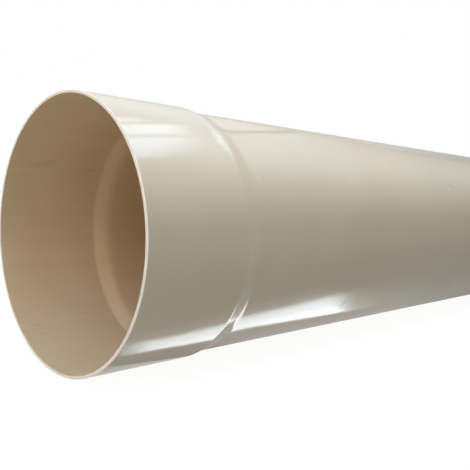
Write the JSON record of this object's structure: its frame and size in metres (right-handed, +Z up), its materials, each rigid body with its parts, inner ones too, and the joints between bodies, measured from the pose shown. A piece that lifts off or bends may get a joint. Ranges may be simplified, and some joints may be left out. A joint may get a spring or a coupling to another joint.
{
  "type": "pvc pipe",
  "caption": "Thin-walled round PVC rain-water downpipe with a socket formed on one end to take the plain end of the next pipe.",
  "frame": {"origin": "the middle of the socket's mouth, on the pipe's axis", "axes": "+X along the pipe from the socket's mouth to the plain end, +Z up as the pipe lies on a floor"},
  "size_m": [2, 0.1024, 0.1026],
  "materials": {
    "sand_pvc": "smooth glossy extruded PVC, sand coloured all through, with faint lines along the pipe"
  },
  "bodies": {
    "root": {"pipe": "sand_pvc"}
  },
  "joints": []
}
